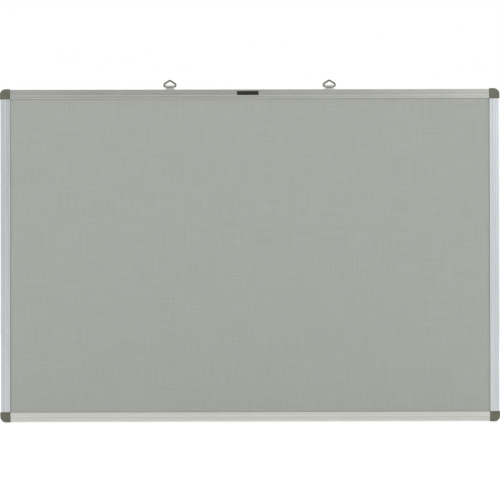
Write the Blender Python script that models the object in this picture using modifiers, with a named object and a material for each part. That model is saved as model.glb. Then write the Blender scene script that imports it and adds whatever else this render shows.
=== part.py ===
"""Fabric notice board in an aluminium frame, hung from two wire rings.

Metres, +Z up. The front faces -Y, the wall is the plane y = 0, and the origin
is the centre of the board's outline on that plane. Four hollow extruded rails
are cut square and plug onto the tongues of four moulded corner caps. The panel
of fabric, core and backing sits in the rails' channel.
"""

import math

import bmesh
import bpy
from mathutils import Matrix, Vector

# The board
BOARD_WIDTH = 0.900
BOARD_HEIGHT = 0.600
HANGER_SPACING = 0.288

# Clearances
TOUCH_GAP = 0.0003  # between faces that bear on each other
PANEL_PLAY = 0.0004  # round the panel's edge in the channel
SCREW_PLAY = 0.0003  # round a screw in its hole
WALL_PLAY = 0.0003  # between the hanger's screw heads and the wall
CUT_OVERRUN = 0.0020  # how far a cutter passes the face that it cuts

# Panel
FABRIC_THICKNESS = 0.0008
CORE_THICKNESS = 0.0085
BACKING_THICKNESS = 0.0007

# Rail section, across the face from the outer edge to the lip over the fabric
RAIL_WIDTH = 0.0170
RAIL_WALL = 0.0013
CHAMBER_WIDTH = 0.0060
CHAMBER_RADIUS = 0.0005
FRONT_WALL = 0.0020  # over the chamber, where the face is highest
FRONT_LIP = 0.0021
REAR_LIP = 0.0015
REAR_LIP_REACH = 0.0056  # beyond the web between chamber and channel
FACE_FALL = 0.0010  # how far the face slopes back towards the outer edge
EDGE_BAND = 0.0028
EDGE_GROOVE_WIDTH = 0.0013
EDGE_GROOVE_DEPTH = 0.0002
OUTER_BAND = 0.0066  # both bands and the groove between them
OUTER_GROOVE_WIDTH = 0.0013
GROOVE_DEPTH = 0.0004
MIDDLE_CROWN = 0.0001
INNER_GROOVE_WIDTH = 0.0028
INNER_BEAD_WIDTH = 0.0025
FRONT_EDGE_RADIUS = 0.0010
REAR_EDGE_RADIUS = 0.0004

# Corner caps
CAP_SIDE_STAND = 0.0010  # proud of the rails' outer faces
CAP_INNER_STAND = 0.0002  # past the rails' inner edges
CAP_FRONT_STAND = 0.0007
CAP_CORNER_RADIUS = 0.0110
CAP_EDGE_RADIUS = 0.0008
CAP_WALL = 0.0018  # of the moulded walls and ribs round the hollows in its back
TONGUE_LENGTH = 0.0220
TONGUE_NOSE = 0.0009  # chamfer that leads the tongue into the chamber
FLUTE_WIDTH = 0.0018
FLUTE_DEPTH = 0.0005
FLUTE_PITCH = 0.0044
CAP_SCREW_PLACE = 0.0100  # from the rail's end

# Screws, all from the rear
SCREW_DIAMETER = 0.0026
SCREW_LENGTH = 0.0085
SCREW_POINT = 0.0015
HEAD_DIAMETER = 0.0054
HEAD_HEIGHT = 0.0014
HEAD_RIM = 0.0004  # straight part of the head's edge
RECESS_SPAN = 0.0028
RECESS_WIDTH = 0.0006
RECESS_DEPTH = 0.0007
PILOT_DEPTH = 0.0010  # past the screw's point

# Hangers
STRAP_WIDTH = 0.0160
STRAP_THICKNESS = 0.0010
STRAP_DROP = 0.0085  # below the top rail's outer face
STRAP_CORNER_RADIUS = 0.0020
STRAP_SCREW_SPACING = 0.0084
EYE_RISE = 0.0064  # from the top rail's outer face to the eye's axis
EYE_PLAY = 0.0006  # round the wire, which rests at the bottom of the eye
WIRE_DIAMETER = 0.0034
RING_SIDE_PLAY = 0.0007  # between the eye's ends and the ring's sides
RING_ROOF_PLAY = 0.00035  # between the eye's upper corners and the roof
RING_ROOF_RISE = 0.0066
RING_JOINT = 0.0004  # between the wire's two ends, inside the eye
BASE_BEND = 0.0002  # radii on the inside of the wire's bends
SHOULDER_BEND = 0.0005
APEX_BEND = 0.0005

# Smoothness
ARC_STEPS = 5
CAP_ARC_STEPS = 12
CAP_EDGE_STEPS = 3
CROWN_STEPS = 4
EYE_STEPS = 28
BEND_STEPS = 8
ROUND_SIDES = 16
WIRE_ROUNDNESS = 5
WELD_DISTANCE = 1e-6
SMOOTH_ANGLE = math.radians(35)
FLAT_ANGLE = math.radians(1)

# What follows from the sizes above
channel_depth = (
    BACKING_THICKNESS + CORE_THICKNESS + FABRIC_THICKNESS + 4 * TOUCH_GAP
)
rail_depth = REAR_LIP + channel_depth + FRONT_LIP
channel_front = REAR_LIP + channel_depth
chamber_front = rail_depth - FRONT_WALL
channel_start = RAIL_WALL + CHAMBER_WIDTH + RAIL_WALL
chamber_middle = RAIL_WALL + CHAMBER_WIDTH / 2
cap_side = CAP_SIDE_STAND + RAIL_WIDTH + CAP_INNER_STAND
rear_stand = (
    WALL_PLAY + HEAD_HEIGHT + TOUCH_GAP + STRAP_THICKNESS + TOUCH_GAP
)
cap_depth = rear_stand + rail_depth + CAP_FRONT_STAND
rail_end = cap_side + TOUCH_GAP
hole_radius = SCREW_DIAMETER / 2 + SCREW_PLAY
wire_radius = WIRE_DIAMETER / 2
eye_inner = wire_radius + EYE_PLAY
eye_outer = eye_inner + STRAP_THICKNESS
ring_drop = EYE_PLAY - TOUCH_GAP  # the ring's axis below the eye's
ring_half = STRAP_WIDTH / 2 + RING_SIDE_PLAY + wire_radius
roof_lean = math.atan(RING_ROOF_RISE / ring_half)

RIGHT = Vector((1, 0, 0))
UP = Vector((0, 0, 1))
FORWARD = Vector((0, -1, 0))


def material(name, color, roughness, metallic):
    made = bpy.data.materials.new(name)
    made.use_nodes = True
    shader = made.node_tree.nodes["Principled BSDF"]
    shader.inputs["Base Color"].default_value = (*color, 1)
    shader.inputs["Roughness"].default_value = roughness
    shader.inputs["Metallic"].default_value = metallic
    return made


def frame(origin, x_axis, y_axis):
    """Places local x and y along two world directions, with z = x cross y."""
    z_axis = x_axis.cross(y_axis)
    turn = Matrix((x_axis, y_axis, z_axis)).transposed().to_4x4()
    return Matrix.Translation(origin) @ turn


def room(side, neighbour_radius):
    """How much of a side a fillet may take, half where both ends are round."""
    return side.length / 2 if neighbour_radius else side.length


def rounded(corners, steps=ARC_STEPS):
    """Points along a closed outline of (x, y, radius) corners."""
    points = []
    for i, (x, y, radius) in enumerate(corners):
        here = Vector((x, y))
        previous = corners[i - 1]
        following = corners[(i + 1) % len(corners)]
        if radius == 0:
            points.append(here)
            continue
        before = Vector(previous[:2]) - here
        after = Vector(following[:2]) - here
        half_angle = before.angle(after) / 2
        reach = min(
            radius / math.tan(half_angle),
            room(before, previous[2]),
            room(after, following[2]),
        )
        radius = reach * math.tan(half_angle)
        middle = (before.normalized() + after.normalized()).normalized()
        centre = here + middle * radius / math.sin(half_angle)
        first = here + before.normalized() * reach - centre
        last = here + after.normalized() * reach - centre
        sweep = first.angle_signed(last)
        for k in range(steps + 1):
            turned = Matrix.Rotation(-sweep * k / steps, 2) @ first
            points.append(centre + turned)
    return points


def crowned(start, end, height):
    """Corners of a shallow arch from start to end."""
    start, end = Vector(start), Vector(end)
    corners = []
    for k in range(CROWN_STEPS + 1):
        share = k / CROWN_STEPS
        point = start.lerp(end, share)
        arch = 4 * share * (1 - share) * height
        corners.append((point.x, point.y + arch, 0))
    return corners


def welded(mesh):
    """Joins a mesh's coincident points and turns its faces outwards."""
    work = bmesh.new()
    work.from_mesh(mesh)
    bmesh.ops.remove_doubles(work, verts=work.verts, dist=WELD_DISTANCE)
    bmesh.ops.recalc_face_normals(work, faces=work.faces)
    work.to_mesh(mesh)
    work.free()
    return mesh


def with_whole_ends(mesh):
    """Makes each flat side one face, so that a bevel has room on it."""
    work = bmesh.new()
    work.from_mesh(mesh)
    bmesh.ops.dissolve_limit(
        work, angle_limit=FLAT_ANGLE, verts=work.verts, edges=work.edges
    )
    work.to_mesh(mesh)
    work.free()
    return mesh


def taken(obj):
    """The evaluated mesh of a bench object, which is then removed."""
    bpy.context.view_layer.update()
    graph = bpy.context.evaluated_depsgraph_get()
    mesh = bpy.data.meshes.new_from_object(obj.evaluated_get(graph))
    bpy.data.objects.remove(obj)
    return mesh


def on_bench(data):
    obj = bpy.data.objects.new("bench", data)
    bench.objects.link(obj)
    return obj


def extruded(outlines, length):
    """A solid along z of closed outlines, where a second one is a hole."""
    curve = bpy.data.curves.new("outline", "CURVE")
    curve.dimensions = "2D"
    curve.fill_mode = "BOTH"
    curve.extrude = length / 2
    for outline in outlines:
        spline = curve.splines.new("POLY")
        spline.points.add(len(outline) - 1)
        for point, place in zip(spline.points, outline):
            point.co = (place[0], place[1], 0, 1)
        spline.use_cyclic_u = True
    return welded(taken(on_bench(curve)))


def box(low, high, chamfer=0):
    """A box between two corners, with its edges chamfered if asked."""
    low, high = Vector(low), Vector(high)
    work = bmesh.new()
    bmesh.ops.create_cube(work, size=1)
    bmesh.ops.scale(work, vec=high - low, verts=work.verts)
    bmesh.ops.translate(work, vec=(low + high) / 2, verts=work.verts)
    if chamfer:
        bmesh.ops.bevel(
            work, geom=work.edges[:], offset=chamfer, segments=1,
            affect="EDGES",
        )
    mesh = bpy.data.meshes.new("box")
    work.to_mesh(mesh)
    work.free()
    return mesh


def rod(radius, start, end):
    """A round cutter between two points."""
    start, end = Vector(start), Vector(end)
    along = end - start
    place = Matrix.Translation((start + end) / 2)
    turn = UP.rotation_difference(along).to_matrix().to_4x4()
    work = bmesh.new()
    bmesh.ops.create_cone(
        work, cap_ends=True, segments=ROUND_SIDES, radius1=radius,
        radius2=radius, depth=along.length, matrix=place @ turn,
    )
    mesh = bpy.data.meshes.new("rod")
    work.to_mesh(mesh)
    work.free()
    return mesh


def combined(body, tool, operation):
    """A Boolean of two meshes, as a new mesh."""
    worked = on_bench(body)
    cutter = on_bench(tool)
    step = worked.modifiers.new(operation.lower(), "BOOLEAN")
    step.operation = operation
    step.solver = "EXACT"
    step.object = cutter
    mesh = taken(worked)
    bpy.data.objects.remove(cutter)
    return mesh


def piece(name, mesh, finish, matrix=None):
    """Puts a finished mesh in the assembly as a named sub-part."""
    if not mesh.materials:
        mesh.materials.append(finish)
    mesh.shade_smooth()
    mesh.set_sharp_from_angle(angle=SMOOTH_ANGLE)
    obj = bpy.data.objects.new(name, mesh)
    assembly.objects.link(obj)
    obj.matrix_world = matrix or Matrix()
    obj.parent = board
    return obj


# Panel

def panel():
    """Fabric, core and backing, stacked in the rails' channel."""
    edge = CAP_SIDE_STAND + channel_start + PANEL_PLAY
    half_width = BOARD_WIDTH / 2 - edge
    half_height = BOARD_HEIGHT / 2 - edge
    layers = [
        ("backing_sheet", BACKING_THICKNESS, backing_finish),
        ("core_board", CORE_THICKNESS, core_finish),
        ("fabric_cover", FABRIC_THICKNESS, fabric_finish),
    ]
    rear = rear_stand + REAR_LIP + TOUCH_GAP
    for name, thickness, finish in layers:
        low = (-half_width, -rear - thickness, -half_height)
        high = (half_width, -rear, half_height)
        piece(name, box(low, high), finish)
        rear += thickness + TOUCH_GAP


# Rails

def face_height(across):
    """Height of the sloping face above the rail's rear, without grooves."""
    return rail_depth - FACE_FALL * (1 - across / RAIL_WIDTH)


def groove(start, width, depth):
    """Corners of a shallow valley in the face."""
    flank = min(depth, width / 2)
    stations = [(start, 0), (start + flank, depth)]
    stations += [(start + width - flank, depth), (start + width, 0)]
    return [(u, face_height(u) - sunk, 0) for u, sunk in stations]


def rail_outlines():
    """The extrusion's outer outline and its chamber, across and forward."""
    middle_start = OUTER_BAND + OUTER_GROOVE_WIDTH
    inner_start = RAIL_WIDTH - INNER_BEAD_WIDTH - INNER_GROOVE_WIDTH
    lip_end = channel_start + REAR_LIP_REACH
    outer = [(0, 0, REAR_EDGE_RADIUS), (0, face_height(0), FRONT_EDGE_RADIUS)]
    outer += groove(EDGE_BAND, EDGE_GROOVE_WIDTH, EDGE_GROOVE_DEPTH)
    outer += groove(OUTER_BAND, OUTER_GROOVE_WIDTH, GROOVE_DEPTH)
    outer += crowned(
        (middle_start, face_height(middle_start)),
        (inner_start, face_height(inner_start)),
        MIDDLE_CROWN,
    )[1:-1]
    outer += groove(inner_start, INNER_GROOVE_WIDTH, GROOVE_DEPTH)
    outer += [
        (RAIL_WIDTH, rail_depth, FRONT_EDGE_RADIUS),
        (RAIL_WIDTH, channel_front, REAR_EDGE_RADIUS),
        (channel_start, channel_front, 0),
        (channel_start, REAR_LIP, 0),
        (lip_end, REAR_LIP, REAR_EDGE_RADIUS),
        (lip_end, 0, REAR_EDGE_RADIUS),
    ]
    chamber_end = RAIL_WALL + CHAMBER_WIDTH
    chamber = [
        (RAIL_WALL, RAIL_WALL, CHAMBER_RADIUS),
        (RAIL_WALL, chamber_front, CHAMBER_RADIUS),
        (chamber_end, chamber_front, CHAMBER_RADIUS),
        (chamber_end, RAIL_WALL, CHAMBER_RADIUS),
    ]
    return [rounded(outer), rounded(chamber)]


def rail(name, length, holes, matrix):
    """One rail, with screw holes through its rear wall at the given places."""
    mesh = extruded(rail_outlines(), length)
    for place in holes:
        start = (chamber_middle, -CUT_OVERRUN, place)
        end = (chamber_middle, RAIL_WALL + CUT_OVERRUN, place)
        mesh = combined(mesh, rod(hole_radius, start, end), "DIFFERENCE")
    piece(name, mesh, rail_finish, matrix)


def rails():
    rear = FORWARD * rear_stand
    side = BOARD_WIDTH / 2 - CAP_SIDE_STAND
    top = BOARD_HEIGHT / 2 - CAP_SIDE_STAND
    wide = BOARD_WIDTH - 2 * rail_end
    tall = BOARD_HEIGHT - 2 * rail_end
    wide_holes = [wide / 2 - CAP_SCREW_PLACE, CAP_SCREW_PLACE - wide / 2]
    tall_holes = [tall / 2 - CAP_SCREW_PLACE, CAP_SCREW_PLACE - tall / 2]
    hanger_holes = [
        sign * HANGER_SPACING / 2 + offset
        for sign in (-1, 1)
        for offset in (-STRAP_SCREW_SPACING / 2, STRAP_SCREW_SPACING / 2)
    ]
    rail("top_rail", wide, wide_holes + hanger_holes,
         frame(rear + UP * top, -UP, FORWARD))
    rail("bottom_rail", wide, wide_holes,
         frame(rear - UP * top, UP, FORWARD))
    rail("left_rail", tall, tall_holes,
         frame(rear - RIGHT * side, RIGHT, FORWARD))
    rail("right_rail", tall, tall_holes,
         frame(rear + RIGHT * side, -RIGHT, FORWARD))


# Corner caps

def tongue():
    """A fluted tongue along +x, to fit the chamber of a rail along +x."""
    low_y = CAP_SIDE_STAND + RAIL_WALL + TOUCH_GAP
    high_y = CAP_SIDE_STAND + RAIL_WALL + CHAMBER_WIDTH - TOUCH_GAP
    low_z = rear_stand + RAIL_WALL + TOUCH_GAP
    high_z = rear_stand + chamber_front - TOUCH_GAP
    root = cap_side - CAP_INNER_STAND - CAP_EDGE_RADIUS - TONGUE_NOSE
    mesh = box(
        (root, low_y, low_z),
        (cap_side + TONGUE_LENGTH, high_y, high_z),
        TONGUE_NOSE,
    )
    middle_z = (low_z + high_z) / 2
    for offset in (-FLUTE_PITCH / 2, FLUTE_PITCH / 2):
        for inner, outer in (
            (low_y + FLUTE_DEPTH, low_y - CUT_OVERRUN),
            (high_y - FLUTE_DEPTH, high_y + CUT_OVERRUN),
        ):
            flute = box(
                (cap_side, min(inner, outer),
                 middle_z + offset - FLUTE_WIDTH / 2),
                (cap_side + TONGUE_LENGTH + CUT_OVERRUN, max(inner, outer),
                 middle_z + offset + FLUTE_WIDTH / 2),
            )
            mesh = combined(mesh, flute, "DIFFERENCE")
    pilot_x = rail_end + CAP_SCREW_PLACE
    pilot_y = CAP_SIDE_STAND + chamber_middle
    deepest = rear_stand - TOUCH_GAP + SCREW_LENGTH + PILOT_DEPTH
    pilot = rod(
        hole_radius,
        (pilot_x, pilot_y, low_z - CUT_OVERRUN),
        (pilot_x, pilot_y, deepest),
    )
    return combined(mesh, pilot, "DIFFERENCE")


def hollows(pocket_start):
    """The hollows moulded in a cap's back, on four sides of crossing ribs.

    The one at the outer corner is as deep as the cap's front wall allows, and
    the others stop short of the tongues and the panel's pocket.
    """
    far = cap_side - CAP_WALL
    outline = rounded([
        (CAP_WALL, CAP_WALL, max(CAP_CORNER_RADIUS - CAP_WALL, 0)),
        (far, CAP_WALL, 0),
        (far, far, 0),
        (CAP_WALL, far, 0),
    ], CAP_ARC_STEPS)
    rib_start = pocket_start - CAP_WALL
    shallow = rear_stand + REAR_LIP - CAP_WALL
    deep = cap_depth - CAP_WALL
    blocks = []
    for depth in (shallow, deep):
        length = depth + CUT_OVERRUN
        block = extruded([outline], length)
        block.transform(Matrix.Translation(UP * (length / 2 - CUT_OVERRUN)))
        blocks.append(block)
    tools, corner = blocks
    for low, high in (
        ((rib_start, 0), (pocket_start, cap_side)),
        ((0, rib_start), (cap_side, pocket_start)),
    ):
        rib = box((*low, -2 * CUT_OVERRUN), (*high, cap_depth))
        tools = combined(tools, rib, "DIFFERENCE")
    keep = box((0, 0, -2 * CUT_OVERRUN), (rib_start, rib_start, cap_depth))
    corner = combined(corner, keep, "INTERSECT")
    return combined(tools, corner, "UNION")


def cap_mesh():
    """A cap in the frame of its corner: x and y inwards, z forwards."""
    outline = rounded([
        (0, 0, CAP_CORNER_RADIUS),
        (cap_side, 0, 0),
        (cap_side, cap_side, 0),
        (0, cap_side, 0),
    ], CAP_ARC_STEPS)
    body = on_bench(with_whole_ends(extruded([outline], cap_depth)))
    body.data.transform(Matrix.Translation(UP * cap_depth / 2))
    soften = body.modifiers.new("edges", "BEVEL")
    soften.width = CAP_EDGE_RADIUS
    soften.segments = CAP_EDGE_STEPS
    soften.limit_method = "ANGLE"
    soften.angle_limit = SMOOTH_ANGLE
    mesh = taken(body)
    one_way = tongue()
    swap = Matrix(((0, 1, 0, 0), (1, 0, 0, 0), (0, 0, 1, 0), (0, 0, 0, 1)))
    other_way = one_way.copy()
    other_way.transform(swap)
    other_way.flip_normals()
    mesh = combined(mesh, one_way, "UNION")
    mesh = combined(mesh, other_way, "UNION")
    pocket_start = CAP_SIDE_STAND + channel_start
    pocket_end = cap_side + CUT_OVERRUN
    pocket = box(
        (pocket_start, pocket_start, rear_stand + REAR_LIP),
        (pocket_end, pocket_end, rear_stand + channel_front),
    )
    mesh = combined(mesh, pocket, "DIFFERENCE")
    return combined(mesh, hollows(pocket_start), "DIFFERENCE")


def corner_frames():
    """Each corner's name and frame: x and y inwards, z forwards."""
    side = RIGHT * BOARD_WIDTH / 2
    top = UP * BOARD_HEIGHT / 2
    return {
        "top_left": frame(top - side, -UP, RIGHT),
        "top_right": frame(top + side, -RIGHT, -UP),
        "bottom_right": frame(side - top, UP, -RIGHT),
        "bottom_left": frame(-side - top, RIGHT, UP),
    }


def caps_and_their_screws():
    cap = cap_mesh()
    inward = CAP_SIDE_STAND + chamber_middle
    along = rail_end + CAP_SCREW_PLACE
    seat = rear_stand - TOUCH_GAP
    for corner, matrix in corner_frames().items():
        piece(f"corner_cap_{corner}", cap, cap_finish, matrix)
        places = {"a": (along, inward, seat), "b": (inward, along, seat)}
        for letter, place in places.items():
            piece(f"cap_screw_{corner}_{letter}", screw, screw_finish,
                  matrix @ Matrix.Translation(place))


# Screws

def screw_mesh():
    """A pan-head screw along +z, with the head's seat at the origin."""
    profile = [(0, -HEAD_HEIGHT)]
    dome = HEAD_HEIGHT - HEAD_RIM
    for k in range(1, ARC_STEPS + 1):
        angle = math.pi / 2 * k / ARC_STEPS
        profile.append((
            HEAD_DIAMETER / 2 * math.sin(angle),
            -HEAD_RIM - dome * math.cos(angle),
        ))
    profile += [
        (HEAD_DIAMETER / 2, 0),
        (SCREW_DIAMETER / 2, 0),
        (SCREW_DIAMETER / 2, SCREW_LENGTH - SCREW_POINT),
        (0, SCREW_LENGTH),
    ]
    mesh = bpy.data.meshes.new("screw_profile")
    edges = [(k, k + 1) for k in range(len(profile) - 1)]
    mesh.from_pydata([(x, 0, z) for x, z in profile], edges, [])
    turned = on_bench(mesh)
    spin = turned.modifiers.new("turn", "SCREW")
    spin.steps = ROUND_SIDES
    spin.render_steps = ROUND_SIDES
    spin.use_merge_vertices = True
    spin.merge_threshold = WELD_DISTANCE
    mesh = welded(taken(turned))
    floor = RECESS_DEPTH - HEAD_HEIGHT
    for half_x, half_y in (
        (RECESS_SPAN / 2, RECESS_WIDTH / 2),
        (RECESS_WIDTH / 2, RECESS_SPAN / 2),
    ):
        slot = box(
            (-half_x, -half_y, -HEAD_HEIGHT - CUT_OVERRUN),
            (half_x, half_y, floor),
        )
        mesh = combined(mesh, slot, "DIFFERENCE")
    return mesh


# Hangers

def strap_mesh():
    """A strap in a frame of x across, y up from the eye's axis, z forwards.

    Its plate lies behind the top rail, and its top rolls forwards into an eye
    round the ring's wire, with a gap where the roll meets the plate.
    """
    closing = math.acos((eye_inner - TOUCH_GAP) / eye_outer)
    sweep = 2 * math.pi - closing
    low = -EYE_RISE - STRAP_DROP
    outline = [Vector((eye_outer, low))]
    for k in range(EYE_STEPS + 1):
        angle = sweep * k / EYE_STEPS
        outline.append(Vector((math.cos(angle), math.sin(angle))) * eye_outer)
    for k in range(EYE_STEPS, -1, -1):
        angle = sweep * k / EYE_STEPS
        outline.append(Vector((math.cos(angle), math.sin(angle))) * eye_inner)
    outline.append(Vector((eye_inner, low)))
    mesh = extruded([outline], STRAP_WIDTH)
    mesh.transform(frame(Vector(), Vector((0, 0, -1)), Vector((0, 1, 0))))
    work = bmesh.new()
    work.from_mesh(mesh)
    corners = [
        edge for edge in work.edges
        if all(abs(v.co.y - low) < WELD_DISTANCE for v in edge.verts)
        and abs(edge.verts[0].co.x - edge.verts[1].co.x) < WELD_DISTANCE
        and abs(edge.verts[0].co.z - edge.verts[1].co.z) > WELD_DISTANCE
    ]
    bmesh.ops.bevel(
        work, geom=corners, offset=STRAP_CORNER_RADIUS,
        segments=ARC_STEPS, profile=0.5, affect="EDGES",
    )
    work.to_mesh(mesh)
    work.free()
    height = -EYE_RISE - chamber_middle
    for across in (-STRAP_SCREW_SPACING / 2, STRAP_SCREW_SPACING / 2):
        hole = rod(
            hole_radius,
            (across, height, CUT_OVERRUN - eye_inner),
            (across, height, -eye_outer - CUT_OVERRUN),
        )
        mesh = combined(mesh, hole, "DIFFERENCE")
    return mesh


def ring_mesh():
    """A wire bent round its axis: a base, two sides and a roof.

    The two ends of the wire meet in the middle of the base. The roof is just
    high enough to pass over the upper corners of the strap's eye.
    """
    eye_corner = STRAP_WIDTH / 2
    eye_top = ring_drop + eye_outer
    roof_at_eye = eye_top + (wire_radius + RING_ROOF_PLAY) / math.cos(roof_lean)
    shoulder = roof_at_eye - (ring_half - eye_corner) * math.tan(roof_lean)
    path = rounded([
        (-RING_JOINT / 2, 0, 0),
        (-ring_half, 0, BASE_BEND + wire_radius),
        (-ring_half, shoulder, SHOULDER_BEND + wire_radius),
        (0, shoulder + RING_ROOF_RISE, APEX_BEND + wire_radius),
        (ring_half, shoulder, SHOULDER_BEND + wire_radius),
        (ring_half, 0, BASE_BEND + wire_radius),
        (RING_JOINT / 2, 0, 0),
    ], BEND_STEPS)
    curve = bpy.data.curves.new("ring_path", "CURVE")
    curve.dimensions = "3D"
    curve.bevel_depth = wire_radius
    curve.bevel_resolution = WIRE_ROUNDNESS
    curve.use_fill_caps = True
    spline = curve.splines.new("POLY")
    spline.points.add(len(path) - 1)
    for point, place in zip(spline.points, path):
        point.co = (place.x, 0, place.y, 1)
    return welded(taken(on_bench(curve)))


def hangers():
    """Straps screwed behind the top rail, each with its ring upright."""
    strap = strap_mesh()
    ring = ring_mesh()
    plate_rear = rear_stand - TOUCH_GAP - STRAP_THICKNESS
    rail_top = BOARD_HEIGHT / 2 - CAP_SIDE_STAND
    for side, sign in (("left", -1), ("right", 1)):
        across = RIGHT * sign * HANGER_SPACING / 2
        eye = (
            across + FORWARD * (plate_rear + eye_outer)
            + UP * (rail_top + EYE_RISE)
        )
        piece(f"hanger_strap_{side}", strap, strap_finish,
              frame(eye, RIGHT, UP))
        piece(f"hanger_ring_{side}", ring, ring_finish,
              Matrix.Translation(eye - UP * ring_drop))
        seat = (
            across + FORWARD * (plate_rear - TOUCH_GAP)
            + UP * (rail_top - chamber_middle)
        )
        for letter, offset in (("a", -1), ("b", 1)):
            place = seat + RIGHT * offset * STRAP_SCREW_SPACING / 2
            piece(f"hanger_screw_{side}_{letter}", screw, screw_finish,
                  frame(place, RIGHT, UP))


for old in list(bpy.data.objects):
    bpy.data.objects.remove(old)

assembly = bpy.data.collections.new("fabric_notice_board")
bench = bpy.data.collections.new("bench")
bpy.context.scene.collection.children.link(assembly)
bpy.context.scene.collection.children.link(bench)

fabric_finish = material("fabric", (0.38, 0.39, 0.36), 0.95, 0)
core_finish = material("soft_fibreboard", (0.45, 0.33, 0.20), 0.9, 0)
backing_finish = material("backing", (0.55, 0.55, 0.53), 0.6, 0)
rail_finish = material("anodised_aluminium", (0.60, 0.61, 0.61), 0.4, 1)
cap_finish = material("cap_plastic", (0.16, 0.16, 0.13), 0.5, 0)
screw_finish = material("zinc_plated_screw", (0.60, 0.60, 0.58), 0.35, 1)
strap_finish = material("zinc_plated_strap", (0.70, 0.70, 0.68), 0.3, 1)
ring_finish = material("nickel_plated_wire", (0.66, 0.65, 0.62), 0.2, 1)

board = bpy.data.objects.new("board", None)
assembly.objects.link(board)

screw = screw_mesh()
panel()
rails()
caps_and_their_screws()
hangers()
bpy.data.collections.remove(bench)
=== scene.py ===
import math

import bmesh
import bpy
from mathutils import Matrix, Vector


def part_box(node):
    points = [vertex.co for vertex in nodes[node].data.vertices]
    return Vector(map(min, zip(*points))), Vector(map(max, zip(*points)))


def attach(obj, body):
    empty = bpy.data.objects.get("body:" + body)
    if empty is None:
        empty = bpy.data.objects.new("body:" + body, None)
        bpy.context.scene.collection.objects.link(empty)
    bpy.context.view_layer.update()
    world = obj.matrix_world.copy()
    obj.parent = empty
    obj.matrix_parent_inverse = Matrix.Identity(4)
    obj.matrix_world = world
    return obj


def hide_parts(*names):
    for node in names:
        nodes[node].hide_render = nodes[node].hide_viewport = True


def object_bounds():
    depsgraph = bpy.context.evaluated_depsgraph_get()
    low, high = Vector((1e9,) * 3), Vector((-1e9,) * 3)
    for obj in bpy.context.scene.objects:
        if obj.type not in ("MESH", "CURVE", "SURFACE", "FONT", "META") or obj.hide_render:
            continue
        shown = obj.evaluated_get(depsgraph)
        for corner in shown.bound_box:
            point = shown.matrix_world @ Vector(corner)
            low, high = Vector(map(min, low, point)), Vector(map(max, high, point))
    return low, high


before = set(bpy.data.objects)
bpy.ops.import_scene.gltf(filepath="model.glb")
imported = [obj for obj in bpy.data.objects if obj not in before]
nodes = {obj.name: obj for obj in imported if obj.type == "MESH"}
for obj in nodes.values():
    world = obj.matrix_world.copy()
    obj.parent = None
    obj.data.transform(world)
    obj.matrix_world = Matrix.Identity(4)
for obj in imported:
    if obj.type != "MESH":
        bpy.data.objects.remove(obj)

# Looks of the fabric notice board: metres, +Z up, the fabric faces -Y
cadLow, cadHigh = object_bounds()
mm = 0.001


# Small helpers

def linear(hexColour):
    # sRGB hex to the linear colour that shaders take
    parts = [int(hexColour[i:i + 2], 16) / 255 for i in (1, 3, 5)]
    return [c / 12.92 if c <= 0.04045 else ((c + 0.055) / 1.055) ** 2.4 for c in parts] + [1]


def addNode(tree, kind, inputs=None, **settings):
    # A node with its settings; an input is a value, another node's socket or a list of sockets
    node = tree.nodes.new(kind)
    for name, value in settings.items():
        setattr(node, name, value)
    for key, value in (inputs or {}).items():
        several = isinstance(value, list) and isinstance(value[0], bpy.types.NodeSocket)
        if several or isinstance(value, bpy.types.NodeSocket):
            for source in value if several else [value]:
                tree.links.new(source, node.inputs[key])
        else:
            node.inputs[key].default_value = value
    return node


def newMaterial(name, **constants):
    # A material with its Principled shader's constant sockets set
    made = bpy.data.materials.new(name)
    made.use_nodes = True
    shader = made.node_tree.nodes["Principled BSDF"]
    for key, value in constants.items():
        shader.inputs[key.replace("_", " ")].default_value = value
    return made, made.node_tree, shader


def feedShader(tree, shader, **sources):
    # Links each source to the shader's socket of that name
    for key, source in sources.items():
        tree.links.new(source, shader.inputs[key.replace("_", " ")])


def dress(obj, *materials):
    # Puts the materials in an object's slots in place of what it had
    obj.data.materials.clear()
    for material in materials:
        obj.data.materials.append(material)


def newPiece(name, mesh, body, slotName, *materials):
    obj = bpy.data.objects.new(name, mesh)
    bpy.context.scene.collection.objects.link(obj)
    for material in materials:
        mesh.materials.append(material)
    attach(obj, body)
    return obj


def newTree(name, sizes):
    # A Geometry Nodes tree that takes a mesh and the named sizes
    tree = bpy.data.node_groups.new(name, "GeometryNodeTree")
    tree.interface.new_socket("Geometry", in_out="OUTPUT", socket_type="NodeSocketGeometry")
    tree.interface.new_socket("Geometry", in_out="INPUT", socket_type="NodeSocketGeometry")
    for label, value in sizes.items():
        kind = "NodeSocketInt" if isinstance(value, int) else "NodeSocketFloat"
        tree.interface.new_socket(label, in_out="INPUT", socket_type=kind)
    return tree, addNode(tree, "NodeGroupInput").outputs


def endTree(tree, geometry, material):
    plain = addNode(tree, "GeometryNodeRealizeInstances", {"Geometry": geometry})
    dressed = addNode(tree, "GeometryNodeSetMaterial", {
        "Geometry": plain.outputs[0], "Material": material,
    })
    addNode(tree, "NodeGroupOutput", {"Geometry": dressed.outputs[0]})


def grown(tree, sizes, mesh):
    # Runs a tree on a mesh and gives what comes out as a plain mesh
    host = bpy.data.objects.new(tree.name, mesh)
    bpy.context.scene.collection.objects.link(host)
    step = host.modifiers.new(tree.name, "NODES")
    step.node_group = tree
    for item in tree.interface.items_tree:
        if item.in_out == "INPUT" and item.name in sizes:
            step[item.identifier] = sizes[item.name]
    graph = bpy.context.evaluated_depsgraph_get()
    result = bpy.data.meshes.new_from_object(host.evaluated_get(graph))
    bpy.data.objects.remove(host)
    return result


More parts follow.
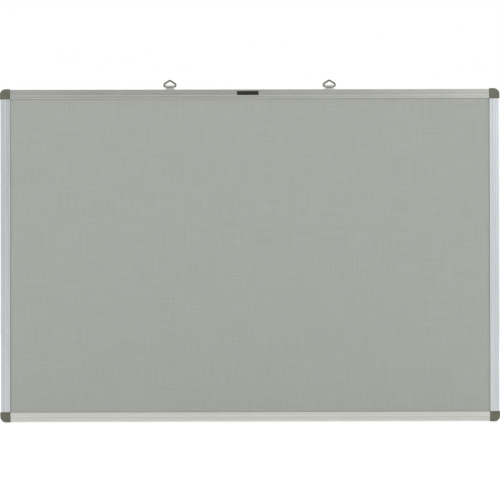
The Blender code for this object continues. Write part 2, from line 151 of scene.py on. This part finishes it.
# Board cloth: plain-woven grey polyester, which is matt with a little sheen from its fibres
cloth = {
    "warpPitch": 0.75 * mm,      # between threads that run up
    "weftPitch": 0.85 * mm,      # between threads that run across
    "pale": "#B0B3AD",
    "dark": "#A7AAA4",
    "slubLength": 60 * mm,       # of a thick stretch in a thread
    "slubWidth": 2.6 * mm,       # drawn a few threads wide, or it wouldn't show in the render
    "melange": 4 * mm,           # blotches of mixed fibres, drawn coarse for the same reason
    "threadRelief": 0.10 * mm,
    "gridStep": 5 * mm,
    "slack": 0.06 * mm,          # the glued cloth isn't quite flat
    "slackRoom": 2.2,            # slacks off its thickness, so that the back clears the core
    "lipShadeWidth": 1.2 * mm,       # of the painted shade line along the rails' lips
    "lipShadeFactor": 0.86,
}


def clothMaterial():
    material, tree, shader = newMaterial(
        "plainWovenPolyester", Roughness=0.93, Sheen_Weight=0.12, Sheen_Roughness=0.5,
        Specular_IOR_Level=0.25,
    )
    place = addNode(tree, "ShaderNodeTexCoord").outputs["Object"]
    # Streaks of thicker and paler thread, long along the thread
    streaks = []
    for along in ("X", "Z"):
        squeeze = [1 / cloth["slubWidth"]] * 3
        squeeze["XYZ".index(along)] = 1 / cloth["slubLength"]
        moved = addNode(tree, "ShaderNodeMapping", {"Vector": place, "Scale": squeeze})
        streaks.append(addNode(tree, "ShaderNodeTexNoise", {
            "Vector": moved.outputs[0], "Scale": 1, "Detail": 3, "Roughness": 0.6,
        }).outputs[0])
    both = addNode(tree, "ShaderNodeMath", {0: streaks[0], 1: streaks[1]}, operation="ADD")
    # Melange: paler and darker fibres mixed in the yarn
    melange = addNode(tree, "ShaderNodeTexNoise", {
        "Vector": place, "Scale": 1 / cloth["melange"], "Detail": 4, "Roughness": 0.75,
    })
    total = addNode(tree, "ShaderNodeMath", {
        0: both.outputs[0], 1: melange.outputs[0],
    }, operation="ADD")
    shade = addNode(tree, "ShaderNodeMapRange", {
        "Value": total.outputs[0], "From Min": 1.2, "From Max": 1.8,
    })
    colour = addNode(tree, "ShaderNodeMix", {
        "Factor": shade.outputs[0], 6: linear(cloth["dark"]), 7: linear(cloth["pale"]),
    }, data_type="RGBA")
    # Plain weave: each thread goes over one and under the next
    parts = addNode(tree, "ShaderNodeSeparateXYZ", {0: place})
    waves = []
    for axis, pitch in (("X", cloth["warpPitch"]), ("Z", cloth["weftPitch"])):
        turns = addNode(tree, "ShaderNodeMath", {
            0: parts.outputs[axis], 1: math.pi / pitch,
        }, operation="MULTIPLY")
        wave = addNode(tree, "ShaderNodeMath", {0: turns.outputs[0]}, operation="SINE")
        waves.append(wave.outputs[0])
    crossing = addNode(tree, "ShaderNodeMath", {0: waves[0], 1: waves[1]}, operation="MULTIPLY")
    relief = addNode(tree, "ShaderNodeMath", {
        0: crossing.outputs[0], 1: 0.5, 2: 0.5,
    }, operation="MULTIPLY_ADD")
    fuzz = addNode(tree, "ShaderNodeMath", {
        0: melange.outputs[0], 1: 0.6, 2: relief.outputs[0],
    }, operation="MULTIPLY_ADD")
    bump = addNode(tree, "ShaderNodeBump", {
        "Height": fuzz.outputs[0], "Strength": 0.5, "Distance": cloth["threadRelief"],
    })
    # Painted shade: the colour is darker where the threads dip under and lighter on the crossings
    weaveShade = addNode(tree, "ShaderNodeMapRange", {
        "Value": relief.outputs[0], "To Min": 0.92, "To Max": 1.03,
    })
    # Painted shade: the cloth's colour is darker where it meets the rails' lips
    lipX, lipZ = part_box("left_rail")[1].x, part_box("bottom_rail")[1].z
    gaps = []
    for axis, lip in (("X", lipX), ("Z", lipZ)):
        far = addNode(tree, "ShaderNodeMath", {0: parts.outputs[axis]}, operation="ABSOLUTE")
        gap = addNode(tree, "ShaderNodeMath", {
            0: far.outputs[0], 1: abs(lip),
        }, operation="SUBTRACT")
        gaps.append(gap.outputs[0])
    edge = addNode(tree, "ShaderNodeMath", {0: gaps[0], 1: gaps[1]}, operation="MAXIMUM")
    lipShade = addNode(tree, "ShaderNodeMapRange", {
        "Value": edge.outputs[0], "From Min": -cloth["lipShadeWidth"], "From Max": 0,
        "To Min": 1, "To Max": cloth["lipShadeFactor"],
    }, interpolation_type="SMOOTHSTEP")
    share = addNode(tree, "ShaderNodeMath", {
        0: weaveShade.outputs[0], 1: lipShade.outputs[0],
    }, operation="MULTIPLY")
    shaded = addNode(tree, "ShaderNodeVectorMath", {
        0: colour.outputs[2], 1: share.outputs[0],
    }, operation="MULTIPLY")
    feedShader(tree, shader, Base_Color=shaded.outputs[0], Normal=bump.outputs[0])
    return material


def clothPiece(material):
    low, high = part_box("fabric_cover")
    columns = round((high.x - low.x) / cloth["gridStep"])
    rows = round((high.z - low.z) / cloth["gridStep"])
    work = bmesh.new()
    bmesh.ops.create_grid(work, x_segments=columns, y_segments=rows, size=0.5)
    for vert in work.verts:
        x = low.x + (vert.co.x + 0.5) * (high.x - low.x)
        z = low.z + (vert.co.y + 0.5) * (high.z - low.z)
        # Waves 0.1 to 0.4 m from crest to crest
        lift = math.sin(x * 23 + 1.3) * math.sin(z * 31 + 0.4) + math.sin(x * 61 + z * 17)
        vert.co = (x, low.y + cloth["slack"] * (1 + lift / 2), z)
    mesh = bpy.data.meshes.new("boardCloth")
    work.to_mesh(mesh)
    work.free()
    obj = newPiece("boardCloth", mesh, "board", "board_fabric", material)
    back = obj.modifiers.new("thickness", "SOLIDIFY")
    back.thickness = high.y - low.y - cloth["slackRoom"] * cloth["slack"]
    back.offset = -1
    obj.data.shade_smooth()
    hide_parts("fabric_cover")


clothPiece(clothMaterial())
print("cloth made")


# Rails: extruded aluminium, etched and anodised, so satin with faint die lines along its length
rail = {
    "across": "#C6C7C2",
    "upright": "#C2C6C9",        # a cooler batch than the long rails
    "roughness": 0.33,           # the denoiser draws faint curves where a metal's crosses 0.27
    "roughnessSwing": 0.04,
    "cloudsPerMetre": 9,         # of slightly duller metal
    "dieLine": 1.2 * mm,         # real ones are a third of this, too fine to show in the render
    "dieLineLength": 900 * mm,
    "lineRelief": 0.006 * mm,
}


def railMaterial(name, hexColour, alongAxis):
    material, tree, shader = newMaterial(name, Metallic=1)
    place = addNode(tree, "ShaderNodeTexCoord").outputs["Object"]
    squeeze = [1 / rail["dieLine"]] * 3
    squeeze[alongAxis] = 1 / rail["dieLineLength"]
    moved = addNode(tree, "ShaderNodeMapping", {"Vector": place, "Scale": squeeze})
    lines = addNode(tree, "ShaderNodeTexNoise", {
        "Vector": moved.outputs[0], "Scale": 1, "Detail": 1, "Roughness": 0.6,
    })
    cloud = addNode(tree, "ShaderNodeTexNoise", {
        "Vector": place, "Scale": rail["cloudsPerMetre"], "Detail": 2,
    })
    tone = addNode(tree, "ShaderNodeMapRange", {
        "Value": lines.outputs[0],
        "From Min": 0.3, "From Max": 0.7, "To Min": 0.94, "To Max": 1.04,
    })
    colour = addNode(tree, "ShaderNodeVectorMath", {
        0: linear(hexColour)[:3], 1: tone.outputs[0],
    }, operation="MULTIPLY")
    rough = addNode(tree, "ShaderNodeMapRange", {
        "Value": cloud.outputs[0],
        "To Min": rail["roughness"] - rail["roughnessSwing"],
        "To Max": rail["roughness"] + rail["roughnessSwing"],
    })
    bump = addNode(tree, "ShaderNodeBump", {
        "Height": lines.outputs[0], "Strength": 0.5, "Distance": rail["lineRelief"],
    })
    feedShader(
        tree, shader, Base_Color=colour.outputs[0], Roughness=rough.outputs[0],
        Normal=bump.outputs[0],
    )
    return material


acrossMetal = railMaterial("anodisedAluminiumAcross", rail["across"], 0)
uprightMetal = railMaterial("anodisedAluminiumUpright", rail["upright"], 2)
for name, metal in (
    ("top_rail", acrossMetal),
    ("bottom_rail", acrossMetal),
    ("left_rail", uprightMetal),
    ("right_rail", uprightMetal),
):
    dress(nodes[name], metal)
print("rails dressed")


# Corner caps: moulded ABS with a fine spark-eroded grain, half matt
cap = {
    "base": "#5D5D50",
    "pale": "#676759",
    "grain": 0.28 * mm,
    "grainRelief": 0.02 * mm,
    "flow": 7 * mm,              # of the paler swirls that the moulding leaves
}


def capMaterial():
    material, tree, shader = newMaterial("sparkErodedGreyAbs", IOR=1.53)
    place = addNode(tree, "ShaderNodeTexCoord").outputs["Object"]
    grain = addNode(tree, "ShaderNodeTexNoise", {
        "Vector": place, "Scale": 1 / cap["grain"], "Detail": 3, "Roughness": 0.6,
    })
    flow = addNode(tree, "ShaderNodeTexNoise", {
        "Vector": place, "Scale": 1 / cap["flow"], "Detail": 2, "Distortion": 0.6,
    })
    share = addNode(tree, "ShaderNodeMapRange", {
        "Value": flow.outputs[0], "From Min": 0.35, "From Max": 0.65,
    })
    colour = addNode(tree, "ShaderNodeMix", {
        "Factor": share.outputs[0], 6: linear(cap["base"]), 7: linear(cap["pale"]),
    }, data_type="RGBA")
    rough = addNode(tree, "ShaderNodeMapRange", {
        "Value": grain.outputs[0], "To Min": 0.42, "To Max": 0.62,
    })
    bump = addNode(tree, "ShaderNodeBump", {
        "Height": grain.outputs[0], "Strength": 0.4, "Distance": cap["grainRelief"],
    })
    feedShader(
        tree, shader, Base_Color=colour.outputs[2], Roughness=rough.outputs[0],
        Normal=bump.outputs[0],
    )
    return material


capPlastic = capMaterial()
for corner in ("top_left", "top_right", "bottom_left", "bottom_right"):
    dress(nodes[f"corner_cap_{corner}"], capPlastic)
print("caps dressed")


# Plated steel, a metal with faint patches: screws in matt zinc, rings in glossier, darker nickel
screwPlating = {
    "hexColour": "#B9BBBD",
    "roughness": 0.36,
    "grain": 0.6 * mm,
    "relief": 0.01 * mm,
}
wirePlating = {
    "hexColour": "#7E7974",
    "roughness": 0.22,
    "grain": 1.0 * mm,
    "relief": 0.005 * mm,
}


def platedMaterial(name, hexColour, roughness, grain, relief):
    material, tree, shader = newMaterial(name, Metallic=1)
    place = addNode(tree, "ShaderNodeTexCoord").outputs["Object"]
    patches = addNode(tree, "ShaderNodeTexNoise", {
        "Vector": place, "Scale": 1 / grain, "Detail": 4, "Roughness": 0.65,
    })
    tone = addNode(tree, "ShaderNodeMapRange", {
        "Value": patches.outputs[0],
        "From Min": 0.3, "From Max": 0.7, "To Min": 0.9, "To Max": 1.08,
    })
    colour = addNode(tree, "ShaderNodeVectorMath", {
        0: linear(hexColour)[:3], 1: tone.outputs[0],
    }, operation="MULTIPLY")
    rough = addNode(tree, "ShaderNodeMapRange", {
        "Value": patches.outputs[0], "To Min": roughness * 0.8, "To Max": roughness * 1.2,
    })
    bump = addNode(tree, "ShaderNodeBump", {
        "Height": patches.outputs[0], "Strength": 0.4, "Distance": relief,
    })
    feedShader(
        tree, shader, Base_Color=colour.outputs[0], Roughness=rough.outputs[0],
        Normal=bump.outputs[0],
    )
    return material


zincScrew = platedMaterial("zincPlatedScrew", **screwPlating)
nickelWire = platedMaterial("nickelPlatedWire", **wirePlating)


# Straps: bright zinc on cold-rolled strip, with painted shade in a band along the eye's underside
strap = {
    "colour": "#E4E6E3",
    "roughness": 0.45,
    "spangle": 1.5 * mm,
    "relief": 0.01 * mm,
    "eyeShadeAt": 304.6 * mm,        # height of the painted shade band's middle
    "eyeShadeHalf": 0.8 * mm,
    "eyeShadeFade": 0.6 * mm,
    "eyeShadeShare": 0.50,
}


def strapMaterial():
    material = platedMaterial(
        "zincPlatedStrip", strap["colour"], strap["roughness"], strap["spangle"], strap["relief"],
    )
    tree = material.node_tree
    shader = tree.nodes["Principled BSDF"]
    bright = shader.inputs["Base Color"].links[0].from_socket
    # Painted shade: the colour is darkened in a band round the eye's underside
    place = addNode(tree, "ShaderNodeTexCoord").outputs["Object"]
    height = addNode(tree, "ShaderNodeSeparateXYZ", {0: place}).outputs["Z"]
    off = addNode(tree, "ShaderNodeMath", {0: height, 1: strap["eyeShadeAt"]}, operation="SUBTRACT")
    far = addNode(tree, "ShaderNodeMath", {0: off.outputs[0]}, operation="ABSOLUTE")
    share = addNode(tree, "ShaderNodeMapRange", {
        "Value": far.outputs[0],
        "From Min": strap["eyeShadeHalf"], "From Max": strap["eyeShadeHalf"] + strap["eyeShadeFade"],
        "To Min": strap["eyeShadeShare"], "To Max": 1,
    })
    eyeShaded = addNode(tree, "ShaderNodeVectorMath", {
        0: bright, 1: share.outputs[0],
    }, operation="MULTIPLY")
    feedShader(tree, shader, Base_Color=eyeShaded.outputs[0])
    return material


zincStrap = strapMaterial()
for side in ("left", "right"):
    dress(nodes[f"hanger_strap_{side}"], zincStrap)
print("straps dressed")


# Hanging rings: wire bent from a base that the strap holds, two short sides and a roof
ring = {
    "shoulder": 4.56 * mm,       # height of the sides above the base
    "rise": 6.44 * mm,           # of the roof above the sides
    "baseBend": 1.9 * mm,        # radii of the wire's middle line
    "shoulderBend": 2.2 * mm,
    "apexBend": 2.2 * mm,
    "joint": 0.4 * mm,           # between the wire's two ends, inside the strap's eye
    "roundSides": 24,
    "bendSteps": 12,
}


def wireTree(sizes):
    tree, given = newTree("bentWire", sizes)
    path = addNode(tree, "GeometryNodeMeshToCurve", {"Mesh": given["Geometry"]})
    bend = addNode(tree, "GeometryNodeInputNamedAttribute", {"Name": "bend"}, data_type="FLOAT")
    bent = addNode(tree, "GeometryNodeFilletCurve", {
        "Curve": path.outputs[0], "Count": given["bend steps"], "Radius": bend.outputs[0],
    }, mode="POLY")
    section = addNode(tree, "GeometryNodeCurvePrimitiveCircle", {
        "Resolution": given["round sides"], "Radius": given["wire radius"],
    })
    swept = addNode(tree, "GeometryNodeCurveToMesh", {
        "Curve": bent.outputs[0], "Profile Curve": section.outputs[0], "Fill Caps": True,
    })
    endTree(tree, swept.outputs[0], nickelWire)
    return tree


def ringPiece(side):
    low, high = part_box(f"hanger_ring_{side}")
    radius = (high.y - low.y) / 2
    middle = Vector(((low.x + high.x) / 2, (low.y + high.y) / 2, low.z + radius))
    half = (high.x - low.x) / 2 - radius
    corners = [
        (-ring["joint"] / 2, 0, 0),
        (-half, 0, ring["baseBend"]),
        (-half, ring["shoulder"], ring["shoulderBend"]),
        (0, ring["shoulder"] + ring["rise"], ring["apexBend"]),
        (half, ring["shoulder"], ring["shoulderBend"]),
        (half, 0, ring["baseBend"]),
        (ring["joint"] / 2, 0, 0),
    ]
    mesh = bpy.data.meshes.new(f"wirePath_{side}")
    places = [middle + Vector((x, 0, z)) for x, z, bend in corners]
    mesh.from_pydata(places, [(k, k + 1) for k in range(len(corners) - 1)], [])
    bends = mesh.attributes.new("bend", "FLOAT", "POINT")
    bends.data.foreach_set("value", [bend for x, z, bend in corners])
    sizes = {
        "wire radius": radius,
        "round sides": ring["roundSides"],
        "bend steps": ring["bendSteps"],
    }
    wire = grown(wireTree(sizes), sizes, mesh)
    wire.shade_smooth()
    obj = newPiece(f"wireRing_{side}", wire, f"ring_{side}", "nickel_plated_wire")
    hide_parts(f"hanger_ring_{side}")


for side in ("left", "right"):
    ringPiece(side)
print("rings made")


# Screws: pan heads with a cross recess, all with their heads at the rear
screw = {                        # each key is the name of an input of the tree
    "head radius": 2.7 * mm,
    "head height": 1.4 * mm,
    "head bulge": 2.85 * mm,     # radius at which the dome would end without its rim
    "shank radius": 1.3 * mm,
    "shank length": 7.0 * mm,
    "point length": 1.5 * mm,
    "recess span": 2.8 * mm,
    "recess width": 0.6 * mm,
    "recess depth": 1.4 * mm,    # half of the blades that cut it is outside the head
    "round sides": 32,
}
smoothUnder = math.radians(40)   # edges of a screw sharper than this stay sharp


def screwTree(sizes):
    tree, given = newTree("panHeadScrews", sizes)

    def lifted(mesh, height, share):
        up = addNode(tree, "ShaderNodeMath", {0: height, 1: share}, operation="MULTIPLY")
        move = addNode(tree, "ShaderNodeCombineXYZ", {"Z": up.outputs[0]})
        return addNode(tree, "GeometryNodeTransform", {
            "Geometry": mesh, "Translation": move.outputs[0],
        }).outputs[0]

    # Along +Z with the head's seat at 0: the head's dome is a squashed ball inside a disc
    sides = given["round sides"]
    ball = addNode(tree, "GeometryNodeMeshUVSphere", {"Segments": sides, "Rings": 16, "Radius": 1})
    squash = addNode(tree, "ShaderNodeCombineXYZ", {
        "X": given["head bulge"], "Y": given["head bulge"], "Z": given["head height"],
    })
    dome = addNode(tree, "GeometryNodeTransform", {
        "Geometry": ball.outputs[0], "Scale": squash.outputs[0],
    })
    disc = addNode(tree, "GeometryNodeMeshCylinder", {
        "Vertices": sides, "Radius": given["head radius"], "Depth": given["head height"],
    })
    head = addNode(tree, "GeometryNodeMeshBoolean", {
        "Mesh 2": [dome.outputs[0], lifted(disc.outputs[0], given["head height"], -0.5)],
    }, operation="INTERSECT", solver="EXACT")
    shank = addNode(tree, "GeometryNodeMeshCylinder", {
        "Vertices": sides, "Radius": given["shank radius"], "Depth": given["shank length"],
    })
    point = addNode(tree, "GeometryNodeMeshCone", {
        "Vertices": sides, "Radius Bottom": given["shank radius"], "Radius Top": 0,
        "Depth": given["point length"],
    })
    whole = addNode(tree, "GeometryNodeMeshBoolean", {
        "Mesh 2": [
            head.outputs[0],
            lifted(shank.outputs[0], given["shank length"], 0.5),
            lifted(point.outputs[0], given["shank length"], 1),
        ],
    }, operation="UNION", solver="EXACT")
    blades = []
    for x, y in (("recess span", "recess width"), ("recess width", "recess span")):
        size = addNode(tree, "ShaderNodeCombineXYZ", {
            "X": given[x], "Y": given[y], "Z": given["recess depth"],
        })
        blade = addNode(tree, "GeometryNodeMeshCube", {"Size": size.outputs[0]})
        blades.append(lifted(blade.outputs[0], given["head height"], -1))
    cut = addNode(tree, "GeometryNodeMeshBoolean", {
        "Mesh 1": whole.outputs[0], "Mesh 2": blades,
    }, operation="DIFFERENCE", solver="EXACT")
    turned = addNode(tree, "GeometryNodeTransform", {
        "Geometry": cut.outputs[0], "Rotation": (math.radians(90), 0, 0),
    })
    copies = addNode(tree, "GeometryNodeInstanceOnPoints", {
        "Points": given["Geometry"], "Instance": turned.outputs[0],
    })
    endTree(tree, copies.outputs[0], zincScrew)
    return tree


def screwPiece():
    names = [name for name in nodes if "_screw_" in name]
    seats = []
    for name in names:
        low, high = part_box(name)
        seats.append(((low.x + high.x) / 2, high.y - screw["head height"], (low.z + high.z) / 2))
    mesh = bpy.data.meshes.new("screwSeats")
    mesh.from_pydata(seats, [], [])
    screws = grown(screwTree(screw), screw, mesh)
    screws.materials.clear()     # the Boolean leaves an empty slot first
    screws.shade_smooth()
    screws.set_sharp_from_angle(angle=smoothUnder)
    obj = newPiece("panHeadScrews", screws, "board", "zinc_plated_screw", zincScrew)
    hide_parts(*names)


screwPiece()
print("screws made")


# Badge on the top rail: a stamped aluminium plate with a bright rim round a bare dark lacquer field
badge = {
    "width": 39.6 * mm,
    "height": 7.6 * mm,
    "middle": -3.2 * mm,         # across, from the board's middle
    "drop": 7.0 * mm,            # of its middle below the rail's outer edge
    "thickness": 0.35 * mm,
    "corner": 1.2 * mm,
    "cornerSteps": 6,
    "rim": 0.25 * mm,
    "fieldDepth": 0.08 * mm,
    "faceFall": 1.0 / 17.0,      # slope of the rail's face
    "stand": 0.14 * mm,          # over the slope, to clear the rail's crowned band
    "lacquer": "#1A1B1A",
    "peel": 0.9 * mm,
    "peelRelief": 0.01 * mm,
    "brightRim": "#8C8D8B",
    "rimRoughness": 0.22,
    "rimGrain": 1.0 * mm,
    "rimRelief": 0.004 * mm,
}


def lacquerMaterial():
    # Stoved lacquer is dark and nearly matt, with a faint orange peel
    material, tree, shader = newMaterial("stovedDarkLacquer", Specular_IOR_Level=0.35)
    place = addNode(tree, "ShaderNodeTexCoord").outputs["Object"]
    peel = addNode(tree, "ShaderNodeTexNoise", {
        "Vector": place, "Scale": 1 / badge["peel"], "Detail": 2,
    })
    value = addNode(tree, "ShaderNodeMapRange", {
        "Value": peel.outputs[0], "To Min": 0.85, "To Max": 1.15,
    })
    colour = addNode(tree, "ShaderNodeHueSaturation", {
        "Color": linear(badge["lacquer"]), "Value": value.outputs[0],
    })
    rough = addNode(tree, "ShaderNodeMapRange", {
        "Value": peel.outputs[0], "To Min": 0.50, "To Max": 0.65,
    })
    bump = addNode(tree, "ShaderNodeBump", {
        "Height": peel.outputs[0], "Strength": 0.2, "Distance": badge["peelRelief"],
    })
    feedShader(
        tree, shader, Base_Color=colour.outputs[0], Roughness=rough.outputs[0],
        Normal=bump.outputs[0],
    )
    return material


def badgePiece():
    work = bmesh.new()
    corner = bmesh.ops.create_grid(work, x_segments=1, y_segments=1, size=0.5)["verts"]
    for vert in corner:
        vert.co.x *= badge["width"]
        vert.co.y *= badge["height"]
    bmesh.ops.bevel(
        work, geom=corner, offset=badge["corner"], segments=badge["cornerSteps"],
        affect="VERTICES", profile=0.5,
    )
    bmesh.ops.recalc_face_normals(work, faces=work.faces)
    back = work.faces[:]
    grownUp = bmesh.ops.extrude_face_region(work, geom=back)
    front = [item for item in grownUp["geom"] if isinstance(item, bmesh.types.BMFace)]
    for vert in front[0].verts:
        vert.co.z += badge["thickness"]
    bmesh.ops.inset_region(work, faces=front, thickness=badge["rim"])
    for vert in front[0].verts:
        vert.co.z -= badge["fieldDepth"]
    front[0].material_index = 1
    bmesh.ops.recalc_face_normals(work, faces=work.faces)
    # Its back lies on the rail's sloping face, whose outer edge is further back
    low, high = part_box("top_rail")
    across = Vector((1, 0, 0))
    up = Vector((0, badge["faceFall"], 1)).normalized()
    out = across.cross(up)
    turn = Matrix((across, up, out)).transposed().to_4x4()
    height = high.z - badge["drop"]
    slope = low.y + badge["faceFall"] * (height - low.z)
    middle = Vector((badge["middle"], slope, height)) + out * badge["stand"]
    bmesh.ops.transform(work, matrix=Matrix.Translation(middle) @ turn, verts=work.verts)
    mesh = bpy.data.meshes.new("railBadge")
    work.to_mesh(mesh)
    work.free()
    bright = platedMaterial(
        "brightAluminiumRim", badge["brightRim"], badge["rimRoughness"], badge["rimGrain"],
        badge["rimRelief"],
    )
    newPiece("railBadge", mesh, "board", "anodised_aluminium", bright, lacquerMaterial())


badgePiece()
print("badge made")


# Core: soft fibreboard that pins go into, tan and hairy; behind it grey board from recycled paper
boards = {
    "core_board": {
        "name": "softFibreboard",
        "dark": "#8E6F4C",
        "pale": "#B08E66",
        "fibre": 0.8 * mm,
        "relief": 0.15 * mm,
    },
    "backing_sheet": {
        "name": "greyBoard",
        "dark": "#A09C92",
        "pale": "#B4B0A6",
        "fibre": 1.2 * mm,
        "relief": 0.03 * mm,
    },
}
blotsPerMetre = 14


def boardMaterial(name, dark, pale, fibre, relief):
    material, tree, shader = newMaterial(name)
    place = addNode(tree, "ShaderNodeTexCoord").outputs["Object"]
    fibres = addNode(tree, "ShaderNodeTexNoise", {
        "Vector": place, "Scale": 1 / fibre, "Detail": 6, "Roughness": 0.7, "Distortion": 1.5,
    })
    blots = addNode(tree, "ShaderNodeTexNoise", {
        "Vector": place, "Scale": blotsPerMetre, "Detail": 3,
    })
    both = addNode(tree, "ShaderNodeMath", {
        0: blots.outputs[0], 1: 0.35, 2: fibres.outputs[0],
    }, operation="MULTIPLY_ADD")
    share = addNode(tree, "ShaderNodeMapRange", {
        "Value": both.outputs[0], "From Min": 0.5, "From Max": 0.85,
    })
    colour = addNode(tree, "ShaderNodeMix", {
        "Factor": share.outputs[0], 6: linear(dark), 7: linear(pale),
    }, data_type="RGBA")
    rough = addNode(tree, "ShaderNodeMapRange", {
        "Value": fibres.outputs[0], "To Min": 0.72, "To Max": 0.92,
    })
    bump = addNode(tree, "ShaderNodeBump", {
        "Height": fibres.outputs[0], "Strength": 0.4, "Distance": relief,
    })
    feedShader(
        tree, shader, Base_Color=colour.outputs[2], Roughness=rough.outputs[0],
        Normal=bump.outputs[0],
    )
    return material


for name, looks in boards.items():
    dress(nodes[name], boardMaterial(**looks))
print("core and back dressed")


# Stage: pale floor under the lower caps, white surroundings, soft studio light
stage = {
    "floorSize": 9.0,
    "floorGap": 0.2 * mm,        # between the floor and the caps
    "floorColour": "#F4F4F2",
    "floorGlow": 0.41,           # to the camera and in gloss, which makes the floor white
    "skyStrength": 0.63,
    "cardColour": "#8C8C8C",
    "cardAt": -3.75,
    "cards": {                   # left, right, low and high edges
        "upperCard": (-1.9, 1.25, 0.55, 3.2),
        "leftCard": (-2.5, -0.80, -0.28, 0.40),
        "rightCard": (1.2, 2.6, -0.28, 0.25),
    },
}


def cameraShare(tree):
    # 1 for rays that show the background, straight or through gloss and glass
    path = addNode(tree, "ShaderNodeLightPath")
    first = addNode(tree, "ShaderNodeMath", {
        0: path.outputs["Is Camera Ray"], 1: path.outputs["Is Glossy Ray"],
    }, operation="MAXIMUM")
    second = addNode(tree, "ShaderNodeMath", {
        0: first.outputs[0], 1: path.outputs["Is Transmission Ray"],
    }, operation="MAXIMUM")
    return second.outputs[0]


def makeWorld():
    world = bpy.data.worlds.new("studio")
    world.use_nodes = True
    tree = world.node_tree
    tree.nodes.clear()
    strength = addNode(tree, "ShaderNodeMapRange", {
        "Value": cameraShare(tree), "To Min": stage["skyStrength"], "To Max": 1,
    })
    sky = addNode(tree, "ShaderNodeBackground", {
        "Color": [1, 1, 1, 1], "Strength": strength.outputs[0],
    })
    addNode(tree, "ShaderNodeOutputWorld", {"Surface": sky.outputs[0]})
    bpy.context.scene.world = world


def plane(name, corners, material):
    mesh = bpy.data.meshes.new(name)
    mesh.from_pydata(corners, [], [range(4)])
    obj = bpy.data.objects.new(name, mesh)
    obj.data.materials.append(material)
    bpy.context.scene.collection.objects.link(obj)
    return obj


def makeFloor():
    material, tree, shader = newMaterial(
        "paleFloor", Roughness=0.9, Base_Color=linear(stage["floorColour"]),
        Emission_Color=[1, 1, 1, 1],
    )
    glow = addNode(tree, "ShaderNodeMath", {
        0: cameraShare(tree), 1: stage["floorGlow"],
    }, operation="MULTIPLY")
    feedShader(tree, shader, Emission_Strength=glow.outputs[0])
    half = stage["floorSize"] / 2
    top = cadLow.z - stage["floorGap"]
    corners = [(-half, -half, top), (half, -half, top), (half, half, top), (-half, half, top)]
    plane("floor", corners, material)


def makeCards():
    # Cards in shade over and beside the camera, which the rails mirror
    material = newMaterial(
        "shadedCard", Roughness=0.9, Base_Color=linear(stage["cardColour"]),
    )[0]
    at = stage["cardAt"]
    for name, (left, right, low, high) in stage["cards"].items():
        corners = [(left, at, low), (left, at, high), (right, at, high), (right, at, low)]
        card = plane(name, corners, material)
        card.visible_camera = False
        card.visible_shadow = False


lamps = {
    "key": {"at": (-2.9, -4.0, 1.1), "size": 5.0, "watts": 107},
    "fill": {"at": (3.4, -3.7, 0.9), "size": 5.0, "watts": 97},
    "back": {"at": (0.4, 2.6, 2.2), "size": 2.0, "watts": 30},
}


def makeLamps():
    for name, lamp in lamps.items():
        data = bpy.data.lights.new(name, "AREA")
        data.shape = "SQUARE"
        data.size = lamp["size"]
        data.energy = lamp["watts"]
        obj = bpy.data.objects.new(name, data)
        obj.location = lamp["at"]
        obj.rotation_euler = (-Vector(lamp["at"])).to_track_quat("-Z", "Y").to_euler()
        obj.visible_camera = False
        bpy.context.scene.collection.objects.link(obj)


view = {
    "lens": 140.0,
    "sensor": 36.0,
    "frameWidth": 0.900,         # metres across the picture at the board's face
    "boardCentreRow": 255.15,    # pixel row of the board's centre in the 500 pixel frame
    "aside": 0.1 * mm,           # camera to the right of the board's middle
    "roll": 0.13,                # degrees that the board leans to the left in the picture
    "tilt": 0.35,                # degrees that the camera looks up
    "pixels": 500,
}


def makeCamera():
    data = bpy.data.cameras.new("front")
    data.lens = view["lens"]
    data.sensor_width = view["sensor"]
    obj = bpy.data.objects.new("front", data)
    distance = view["frameWidth"] * view["lens"] / view["sensor"]
    rowsBelow = view["boardCentreRow"] - view["pixels"] / 2
    below = rowsBelow / view["pixels"] * view["sensor"] / view["lens"]
    height = distance * math.tan(math.atan(below) - math.radians(view["tilt"]))
    obj.location = (view["aside"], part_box("top_rail")[0].y - distance, height)
    upright = Matrix.Rotation(math.radians(90 + view["tilt"]), 4, "X")
    rolled = Matrix.Rotation(math.radians(view["roll"]), 4, "Y")
    obj.rotation_euler = (rolled @ upright).to_euler()
    bpy.context.scene.collection.objects.link(obj)
    bpy.context.scene.camera = obj


makeWorld()
makeFloor()
makeCards()
makeLamps()
makeCamera()
bpy.context.scene.view_settings.view_transform = "Standard"
print("stage made")
